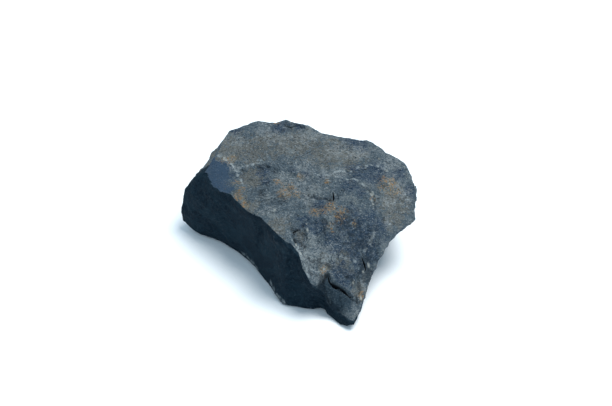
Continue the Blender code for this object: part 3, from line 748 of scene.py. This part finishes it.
        # White flecks, some of them painted highlights on small bumps and crests.
        self.fleck = spotted(x, y, FLECKS, ragged, 0.4, 1.2, 0.5) * is_top
        stains = clouds(self.points, 7.0, 63.0, 0.35, 0.3) * 0.7 * old_side
        self.rust = np.maximum(spotted(x, y, RUST_PATCHES, wander) * is_top * (1.0 - facet), stains)
        blues = clouds(self.points, 8.0, 64.0, -0.1, 0.5) * 0.8 * old_side
        self.blue = np.maximum(np.maximum(spotted(x, y, BLUE_PATCHES, wander) * is_top, facet), blues)
        browns = clouds(self.points, 9.0, 65.0, 0.05, 0.4) * 0.9 * old_side
        self.warm = np.maximum(spotted(x, y, WARM_PATCHES, wander) * is_top * (1.0 - facet), browns)
        self.facet = facet
        self.crack = np.zeros(len(x))


def skin_mesh(spacing, relief, most_triangles):
    """The fine skin as a mesh in metres, inside the solid's own box, with its masks on its points."""
    skin = Skin(spacing, relief)
    rows, columns = skin.shape
    ball = bmesh.new()
    bmesh.ops.create_uvsphere(ball, u_segments=columns, v_segments=rows + 1, radius=1.0)
    unit = np.array([vertex.co for vertex in ball.verts])
    row = np.rint(np.arccos(np.clip(unit[:, 2], -1.0, 1.0)) / np.pi * (rows + 1)).astype(int) - 1
    column = np.rint(np.arctan2(unit[:, 1], unit[:, 0]) / (2.0 * np.pi) * columns).astype(int) % columns
    index = np.clip(row, 0, rows - 1) * columns + column
    points = skin.points[index]
    for pole, ring in ((row < 0, skin.points[:columns]), (row >= rows, skin.points[-columns:])):
        points[pole] = ring.mean(axis=0)
    low, high = points.min(axis=0), points.max(axis=0)
    points = points_scale(low, high)(points)
    mesh = bpy.data.meshes.new("coal_skin")
    bmesh.ops.triangulate(ball, faces=ball.faces)
    ball.to_mesh(mesh)
    ball.free()
    mesh.vertices.foreach_set("co", points.astype(np.float32).ravel())
    for name in MASKS:
        layer = mesh.attributes.new(name, "FLOAT", "POINT")
        layer.data.foreach_set("value", getattr(skin, name)[index].astype(np.float32))
    mesh.update()
    made = cracked(thinned(mesh, most_triangles), points_scale(low, high))
    points = np.array([vertex.co for vertex in made.vertices])
    points = np.clip(points, np.array(CAD_LOW), np.array(CAD_HIGH))
    made.vertices.foreach_set("co", points.astype(np.float32).ravel())
    made.materials.clear()
    made.update()
    return made


def points_scale(low, high):
    """What brings a point of the lump's own plan to its place in the frame."""
    cad_low, cad_high = np.array(CAD_LOW), np.array(CAD_HIGH)
    return lambda points: cad_low + (points - low) / (high - low) * (cad_high - cad_low)


def blade_points(line, width, depth):
    """The outline of a blade along a crack, narrower at its ends, and the height of its lower edge."""
    line = np.array(line)
    along = np.gradient(line, axis=0)
    across = np.column_stack([-along[:, 1], along[:, 0]]) / np.linalg.norm(along, axis=1)[:, None]
    taper = np.sin(np.linspace(0.08, 0.92, len(line)) * np.pi)[:, None] ** 0.7
    half = across * taper * width / 2
    outline = np.concatenate([line + half, (line - half)[::-1]])
    x, y = outline.T
    nothing = np.zeros(len(x))
    drop, _, _ = ledge_relief(x, y, LEDGES, nothing, nothing + 0.75)
    return np.column_stack([x, y, top_height(x, y) - drop - depth])


def cracked(mesh, placed):
    """The skin with the crack and the slits cut into it."""
    blades = bmesh.new()
    for line, width, depth in CRACKS:
        low = blade_points(line, width, depth)
        high = low + np.array([0.0, 0.0, 12.0])
        face = blades.faces.new([blades.verts.new(point) for point in placed(low).tolist()])
        raised = bmesh.ops.extrude_face_region(blades, geom=[face])["geom"]
        top = [vertex for vertex in raised if isinstance(vertex, bmesh.types.BMVert)]
        bmesh.ops.translate(blades, verts=top, vec=placed(high)[0] - placed(low)[0])
    bmesh.ops.triangulate(blades, faces=blades.faces)
    bmesh.ops.recalc_face_normals(blades, faces=blades.faces)
    cutter = bpy.data.objects.new("crack_blades", bpy.data.meshes.new("crack_blades"))
    blades.to_mesh(cutter.data)
    blades.free()
    # Marks the faces the blades cut, which are coloured near black: painted shade inside the cracks.
    dark = cutter.data.attributes.new("crack", "FLOAT", "POINT")
    dark.data.foreach_set("value", np.ones(len(cutter.data.vertices), dtype=np.float32))
    bpy.context.scene.collection.objects.link(cutter)
    made = modified(mesh, "BOOLEAN", operation="DIFFERENCE", solver="MANIFOLD", object=cutter)
    bpy.data.objects.remove(cutter)
    return made


def modified(mesh, kind, **settings):
    """The mesh as it comes out of one modifier."""
    holder = bpy.data.objects.new("holder", mesh)
    bpy.context.scene.collection.objects.link(holder)
    modifier = holder.modifiers.new("modifier", kind)
    for name, value in settings.items():
        setattr(modifier, name, value)
    graph = bpy.context.evaluated_depsgraph_get()
    made = bpy.data.meshes.new_from_object(holder.evaluated_get(graph))
    bpy.data.objects.remove(holder)
    return made


def thinned(mesh, most_triangles):
    """The mesh with no more triangles than asked, taking them from where they tell least."""
    mesh.calc_loop_triangles()
    triangles = len(mesh.loop_triangles)
    if triangles <= most_triangles:
        return mesh
    made = modified(mesh, "DECIMATE", ratio=most_triangles / triangles)
    bpy.data.meshes.remove(mesh)
    return made


# A Mix node's sockets for colours, by number: the share, the two that go in and the one that comes out.
MIX_SHARE, MIX_FIRST, MIX_SECOND, MIX_COLOUR = 0, 6, 7, 2


class Shader:
    """Short ways to add nodes to a material and join them."""

    def __init__(self, name):
        self.material = bpy.data.materials.new(name)
        self.material.use_nodes = True
        self.tree = self.material.node_tree
        self.body = self.tree.nodes["Principled BSDF"].inputs

    def put(self, socket, value):
        if isinstance(value, bpy.types.NodeSocket):
            self.tree.links.new(value, socket)
        else:
            socket.default_value = value

    def add(self, kind, output, inputs, **settings):
        """One of the outputs of a new node, by name or number."""
        node = self.tree.nodes.new("ShaderNode" + kind)
        for name, value in settings.items():
            setattr(node, name, value)
        for name, value in inputs.items():
            self.put(node.inputs[name], value)
        return node.outputs[output]

    def attribute(self, name):
        return self.add("Attribute", "Fac", {}, attribute_name=name)

    def millimetres(self, stretch=(1.0, 1.0, 1.0), shift=(0.0, 0.0, 0.0)):
        """Object coordinates in millimetres, stretched along each axis and shifted."""
        place = self.add("TexCoord", "Object", {})
        scale = [MM_IN_A_METRE * share for share in stretch]
        return self.add("Mapping", "Vector", {"Vector": place, "Location": shift, "Scale": scale})

    def noise(self, vector, size, detail=4.0, rough=0.6, distortion=0.0):
        """Noise whose lumps are this many millimetres across."""
        inputs = {"Vector": vector, "Scale": 1.0 / size, "Detail": detail, "Roughness": rough}
        return self.add("TexNoise", "Fac", {**inputs, "Distortion": distortion})

    def cells(self, vector, size, output="Distance"):
        """Grains of this many millimetres, as the distance from the middle of the nearest one."""
        return self.add("TexVoronoi", output, {"Vector": vector, "Scale": 1.0 / size})

    def tones(self, vector, size):
        """A tone from 0 to 1 for each shard of about this many millimetres."""
        wander = self.add("TexNoise", "Color", {"Vector": vector, "Scale": 0.25})
        push = (5.0, 5.0, 5.0)
        moved = self.add("VectorMath", "Vector", {0: wander, 1: push, 2: vector}, operation="MULTIPLY_ADD")
        return self.ramp(self.cells(moved, size, "Color"), 0.3, 0.8)

    def ramp(self, value, low, high):
        """0 below low, 1 above high, with soft ends."""
        inputs = {"Value": value, "From Min": low, "From Max": high}
        return self.add("MapRange", "Result", inputs, interpolation_type="SMOOTHSTEP")

    def times(self, first, second):
        return self.add("Math", "Value", {0: first, 1: second}, operation="MULTIPLY")

    def plus(self, first, second):
        return self.add("Math", "Value", {0: first, 1: second}, operation="ADD")

    def mix(self, share, first, second):
        """A blend of two colours, each a socket or a colour property."""
        inputs = {MIX_SHARE: share}
        for number, colour in ((MIX_FIRST, first), (MIX_SECOND, second)):
            inputs[number] = colour if isinstance(colour, bpy.types.NodeSocket) else (*colour, 1.0)
        return self.add("Mix", MIX_COLOUR, inputs, data_type="RGBA")

    def coat(self, base, colour, mask, strength):
        """The base with a coat of a colour where the mask is."""
        return self.mix(self.times(mask, strength), base, colour)

    def stippled(self, mask, coarse, fine, low=0.45, high=1.05):
        """A soft mask as fine specks, thick where it is strong and thin where it is weak."""
        coarse_part = self.times(self.plus(coarse, -0.5), 3.6)
        fine_part = self.times(self.plus(fine, -0.5), 3.2)
        return self.ramp(self.plus(mask, self.plus(coarse_part, fine_part)), low, high)


class CoalShader(Shader):
    """Weathered slate-blue coal with pale dust, rust and black fresh breaks."""

    def __init__(self, colours):
        super().__init__("coal")
        self.colours = colours
        place = self.millimetres()
        elsewhere = self.millimetres(shift=(31.0, 7.0, 13.0))
        self.broad = self.noise(place, 6.0, 4.0, 0.6)
        self.middling = self.noise(place, 1.5, 5.0, 0.72, 0.3)
        self.other = self.noise(elsewhere, 1.3, 5.0, 0.72, 0.3)
        self.third = self.noise(self.millimetres((0.6, 1.0, 1.0), (-17.0, 23.0, 5.0)), 0.85, 4.0, 0.75)
        self.small = self.noise(place, 0.62, 3.0, 0.65)
        self.small_too = self.noise(elsewhere, 0.55, 3.0, 0.65)
        self.grain = self.noise(self.millimetres((0.65, 1.0, 1.0), (9.0, -3.0, 17.0)), 0.38, 3.0, 0.75)
        self.lines = self.noise(self.millimetres((0.30, 1.3, 2.4)), 1.3, 5.0, 0.70)
        self.strewn = self.noise(elsewhere, 0.55, 3.0, 0.6)
        self.flecks = self.noise(self.millimetres((0.45, 1.0, 1.0), (3.0, 11.0, -7.0)), 0.36, 2.0, 0.6)
        self.grains = self.cells(place, 0.75)
        self.shards = self.tones(place, 5.5)
        self.worn = self.attribute("worn")
        self.hollow = self.attribute("hollow")

    def weathered(self):
        """The old skin: slate, brown and blue areas, then dust, rust, specks and rubbed edges, painted
        highlight on crests, and painted shade with dark grains in the hollows.
        """
        colours, coat, ramp, times = self.colours, self.coat, self.ramp, self.times
        skin = self.mix(self.stippled(0.45, self.broad, self.small_too), colours.slate, colours.grey)
        warmth = self.stippled(self.attribute("warm"), self.other, self.small)
        skin = coat(skin, colours.warm, warmth, 0.80)
        deep = self.mix(ramp(self.small, 0.40, 0.60), colours.deep, colours.blue)
        blueness = self.stippled(self.attribute("blue"), self.middling, self.small_too)
        skin = coat(skin, deep, blueness, 0.85)
        skin = coat(skin, colours.dust, ramp(self.lines, 0.52, 0.70), 0.35)
        skin = coat(skin, colours.deep, ramp(self.lines, 0.45, 0.30), 0.35)
        dusty = self.plus(times(self.worn, 0.8), times(self.attribute("pale"), 0.9))
        skin = coat(skin, colours.dust, self.stippled(dusty, self.third, self.grain), 0.55)
        rusty = self.attribute("rust")
        skin = coat(skin, colours.tan, self.stippled(times(rusty, 0.9), self.other, self.small), 0.26)
        spots = self.stippled(times(rusty, 0.64), self.third, self.small, 0.66, 1.05)
        stain = self.mix(ramp(self.grain, 0.35, 0.60), colours.tan, colours.rust)
        skin = coat(skin, stain, spots, 0.85)
        skin = coat(skin, colours.speck_and_highlight, ramp(self.strewn, 0.61, 0.72), 0.55)
        skin = coat(skin, colours.edge, ramp(self.flecks, 0.58, 0.70), 0.38)
        skin = coat(skin, colours.deep, ramp(self.flecks, 0.42, 0.30), 0.50)
        # Pale lines along crests, partly painted highlight.
        edges = self.plus(self.attribute("line"), times(self.plus(self.grain, -0.5), 1.4))
        skin = coat(skin, colours.edge, ramp(edges, 0.25, 0.85), 0.55)
        # Painted shade in the hollows, creases and cracks, with dark grains, in the colour of the pits.
        shaded_hollows = self.stippled(times(self.hollow, 0.9), self.other, self.grain)
        dark = self.plus(times(shaded_hollows, 0.60), times(ramp(self.grain, 0.47, 0.27), 0.50))
        skin = self.mix(dark, skin, colours.pit)
        # White flecks, some of them painted highlights on small bumps and crests.
        skin = coat(skin, colours.speck_and_highlight, self.attribute("fleck"), 0.60)
        smooth_blue = self.mix(ramp(self.middling, 0.35, 0.65), colours.blue, colours.facet)
        facet = self.stippled(times(self.attribute("facet"), 2.0), self.third, self.small)
        return coat(skin, smooth_blue, facet, 0.80)

    def scarred(self):
        """The rough break on the spur, with paler grains."""
        colours, coat, ramp = self.colours, self.coat, self.ramp
        scar = self.mix(ramp(self.small, 0.40, 0.62), colours.fresh_grey, colours.scar)
        scar = coat(scar, colours.grey, ramp(self.flecks, 0.56, 0.70), 0.35)
        # Painted shade in the hollows of the scar.
        return coat(scar, colours.fresh, ramp(self.hollow, 0.45, 1.10), 0.80)

    def freshly_broken(self):
        """The black break, with shards that catch the light and a few grey grains."""
        colours, coat, ramp = self.colours, self.coat, self.ramp
        face = self.mix(ramp(self.middling, 0.38, 0.62), colours.fresh, colours.fresh_grey)
        face = coat(face, colours.shard, self.shards, 0.32)
        # Painted shade: darker under the rim and in the low places of the break.
        face = coat(face, colours.fresh, ramp(self.hollow, 0.20, 0.90), 0.75)
        face = coat(face, colours.slate, ramp(self.worn, 0.15, 0.45), 0.22)
        face = coat(face, colours.slate, ramp(self.flecks, 0.56, 0.70), 0.32)
        return coat(face, colours.grey, ramp(self.other, 0.67, 0.77), 0.30)

    def unevenness(self):
        """The finest grains, as a bumped normal."""
        grains = self.times(self.ramp(self.grains, 0.0, 0.6), 0.25)
        height = self.plus(self.times(self.grain, 0.55), grains)
        height = self.plus(height, self.times(self.small, 0.6))
        return self.add("Bump", "Normal", {"Strength": 0.9, "Distance": BUMP_DEPTH, "Height": height})


def coal_finish(colours):
    shader = CoalShader(colours)
    skin = shader.coat(shader.weathered(), shader.scarred(), shader.attribute("scar"), 0.84)
    bare = shader.stippled(shader.times(shader.attribute("fresh"), 2.6), shader.other, shader.small)
    coloured = shader.mix(bare, skin, shader.freshly_broken())
    # Painted shade: near black inside the cracks.
    cracks = shader.ramp(shader.attribute("crack"), 0.2, 0.8)
    rough = shader.plus(0.62, shader.times(shader.ramp(shader.middling, 0.3, 0.7), 0.25))
    shader.put(shader.body["Base Color"], shader.mix(cracks, coloured, colours.crack))
    shader.put(shader.body["Roughness"], rough)
    shader.put(shader.body["Normal"], shader.unevenness())
    shader.body["Metallic"].default_value = 0.0
    shader.body["Specular IOR Level"].default_value = 0.05
    return shader.material


def colour_property(name, description, default):
    return FloatVectorProperty(
        name=name, description=description, subtype="COLOR", size=3, min=0.0, max=1.0, default=default
    )


class CoalLumpSettings(bpy.types.PropertyGroup):
    spacing: FloatProperty(
        name="Point spacing",
        description="Distance between points along the rim before thinning, in millimetres",
        default=0.45,
        min=0.3,
        max=3.0,
    )
    relief: FloatProperty(
        name="Fine relief",
        description="How strongly the flakes, grains and fine roughness stand out",
        default=1.0,
        min=0.0,
        max=2.0,
        subtype="FACTOR",
    )
    most_triangles: IntProperty(
        name="Most triangles",
        description="The skin is thinned to this many triangles",
        default=185000,
        min=5000,
    )
    slate: colour_property("Slate", "Main colour of the weathered top", (0.056, 0.078, 0.095))
    grey: colour_property("Grey", "Paler areas of the weathered top", (0.116, 0.136, 0.143))
    blue: colour_property("Blue", "Blue patches", (0.026, 0.048, 0.080))
    deep: colour_property("Deep blue", "Darkest of the blue patches", (0.010, 0.024, 0.048))
    facet: colour_property("Blue facet", "Paler areas of the smooth blue facet", (0.036, 0.062, 0.098))
    warm: colour_property("Warm grey", "Brownish grey layers", (0.106, 0.106, 0.094))
    dust: colour_property("Dust", "Dust and rubbed edges", (0.230, 0.252, 0.260))
    # Also the pale lines along crests, which are partly painted highlight.
    edge: colour_property("Edges", "Rubbed edges of the layers", (0.300, 0.335, 0.345))
    tan: colour_property("Tan", "Pale stains", (0.230, 0.190, 0.115))
    rust: colour_property("Rust", "Rust stains", (0.250, 0.115, 0.030))
    # Also the white flecks, some of which are painted highlights on small bumps and crests.
    speck_and_highlight: colour_property("Specks", "Pale mineral specks", (0.400, 0.410, 0.380))
    # Painted shade in the hollows, creases and cracks, and the dark grains.
    pit: colour_property("Pits", "Hollows and cracks", (0.006, 0.011, 0.017))
    fresh: colour_property("Fresh break", "Black of the fresh break", (0.002, 0.009, 0.017))
    fresh_grey: colour_property("Fresh grey", "Paler areas of the fresh break", (0.009, 0.021, 0.032))
    shard: colour_property("Shards", "Shards on it that catch the light", (0.014, 0.034, 0.048))
    scar: colour_property("Scar", "Paler grains of the scar on the spur", (0.026, 0.044, 0.060))
    # Painted shade: the colour of the walls inside the cracks, near black.
    crack: colour_property("Cracks", "Inside of the cracks", (0.001, 0.002, 0.004))


class CoalStageSettings(bpy.types.PropertyGroup):
    floor: colour_property("Floor", "Colour of the floor", (0.83, 0.86, 0.88))
    sky: colour_property("Fill light", "Colour of the light from all round", (0.66, 0.85, 1.0))
    sky_strength: FloatProperty(
        name="Fill strength", description="Strength of the light from all round", default=0.85, min=0.0
    )
    key_power: FloatProperty(
        name="Main light",
        description="Power of the soft light overhead",
        default=11.5,
        min=0.0,
        unit="POWER",
    )
    focal_length: FloatProperty(
        name="Focal length",
        description="Camera lens, in millimetres",
        default=85.0,
        min=10.0,
        unit="CAMERA",
    )


def clear(*names):
    """Removes what an earlier run of the same operator made."""
    for name in names:
        if name in bpy.data.objects:
            bpy.data.objects.remove(bpy.data.objects[name])


SHARP_ANGLE = 34.0  # degrees between two faces, above which their shared edge is shown sharp


class MESH_OT_coal_lump(bpy.types.Operator):
    """Build the fine skin of the lump of coal"""

    bl_idname = "mesh.coal_lump"
    bl_label = "Lump of Coal"

    def execute(self, context):
        settings = context.scene.coal_lump
        clear("coal_lump_skin")
        mesh = skin_mesh(settings.spacing, settings.relief, settings.most_triangles)
        mesh.shade_smooth()
        mesh.set_sharp_from_angle(angle=math.radians(SHARP_ANGLE))
        mesh.materials.append(coal_finish(settings))
        lump = bpy.data.objects.new("coal_lump_skin", mesh)
        context.scene.collection.objects.link(lump)
        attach(lump, "root")
        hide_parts("coal_lump")
        return {"FINISHED"}


def floor_finish(colour):
    """Matt white paper, very slightly uneven."""
    shader = Shader("floor")
    cloudy = shader.noise(shader.millimetres(), 180.0, 2.0, 0.5)
    slightly_less = tuple(c * 0.985 for c in colour)
    shader.put(shader.body["Base Color"], shader.mix(cloudy, colour, slightly_less))
    shader.body["Roughness"].default_value = 0.9
    shader.body["Specular IOR Level"].default_value = 0.1
    return shader.material


# The stage, in metres and degrees.
FLOOR_REACH = 3.0
FLOOR_GAP = 0.00005  # between the floor and the lump
LIGHT_PLACE = (0.30, 0.00, 0.98)
LIGHT_SIZE = 0.50
LIGHT_COLOUR = (1.0, 0.985, 0.96)
CAMERA_PLACE = (0.0035, -0.4095, 0.3695)
CAMERA_TILT = 50.0  # up from straight down
SENSOR_WIDTH = 36.0  # millimetres


def studio_floor(context, colour):
    plane = bmesh.new()
    bmesh.ops.create_grid(plane, x_segments=1, y_segments=1, size=FLOOR_REACH)
    bmesh.ops.translate(plane, verts=plane.verts, vec=(0.0, 0.0, -FLOOR_GAP))
    mesh = bpy.data.meshes.new("floor")
    plane.to_mesh(mesh)
    plane.free()
    mesh.materials.append(floor_finish(colour))
    floor = bpy.data.objects.new("floor", mesh)
    context.scene.collection.objects.link(floor)


def main_light(context, power):
    """A soft round light overhead, aimed at the lump."""
    data = bpy.data.lights.new("main light", "AREA")
    data.shape = "DISK"
    data.size = LIGHT_SIZE
    data.energy = power
    data.color = LIGHT_COLOUR
    light = bpy.data.objects.new("main light", data)
    light.location = LIGHT_PLACE
    light.rotation_euler = (-Vector(LIGHT_PLACE)).to_track_quat("-Z", "Y").to_euler()
    context.scene.collection.objects.link(light)


def camera_at_the_table(context, focal_length):
    """A camera at the height of someone who looks down at the table from the front."""
    data = bpy.data.cameras.new("camera")
    data.lens = focal_length
    data.sensor_width = SENSOR_WIDTH
    data.clip_start = 0.01
    camera = bpy.data.objects.new("camera", data)
    camera.location = CAMERA_PLACE
    camera.rotation_euler = (math.radians(CAMERA_TILT), 0.0, 0.0)
    context.scene.collection.objects.link(camera)
    context.scene.camera = camera


class SCENE_OT_coal_stage(bpy.types.Operator):
    """Build the floor, the lights and the camera"""

    bl_idname = "scene.coal_stage"
    bl_label = "Studio Floor and Light"

    def execute(self, context):
        settings = context.scene.coal_stage
        clear("floor", "main light", "camera")
        studio_floor(context, tuple(settings.floor))
        main_light(context, settings.key_power)
        camera_at_the_table(context, settings.focal_length)
        world = bpy.data.worlds.new("soft studio")
        world.use_nodes = True
        sky = world.node_tree.nodes["Background"]
        sky.inputs["Color"].default_value = (*settings.sky, 1.0)
        sky.inputs["Strength"].default_value = settings.sky_strength
        context.scene.world = world
        context.scene.view_settings.view_transform = "Standard"
        context.scene.view_settings.look = "None"
        return {"FINISHED"}


class VIEW3D_PT_coal(bpy.types.Panel):
    bl_label = "Lump of Coal"
    bl_space_type = "VIEW_3D"
    bl_region_type = "UI"
    bl_category = "Coal"

    def draw(self, context):
        layout = self.layout
        layout.use_property_split = True
        for operator, settings in (
            (MESH_OT_coal_lump, context.scene.coal_lump),
            (SCENE_OT_coal_stage, context.scene.coal_stage),
        ):
            box = layout.box()
            for name in settings.__annotations__:
                box.prop(settings, name)
            box.operator(operator.bl_idname)


CLASSES = (CoalLumpSettings, CoalStageSettings, MESH_OT_coal_lump, SCENE_OT_coal_stage, VIEW3D_PT_coal)


def register():
    for each in CLASSES:
        bpy.utils.register_class(each)
    bpy.types.Scene.coal_lump = PointerProperty(type=CoalLumpSettings)
    bpy.types.Scene.coal_stage = PointerProperty(type=CoalStageSettings)


def unregister():
    del bpy.types.Scene.coal_stage
    del bpy.types.Scene.coal_lump
    for each in reversed(CLASSES):
        bpy.utils.unregister_class(each)


def main():
    register()
    bpy.ops.mesh.coal_lump()
    bpy.ops.scene.coal_stage()


if __name__ == "__main__":
    main()
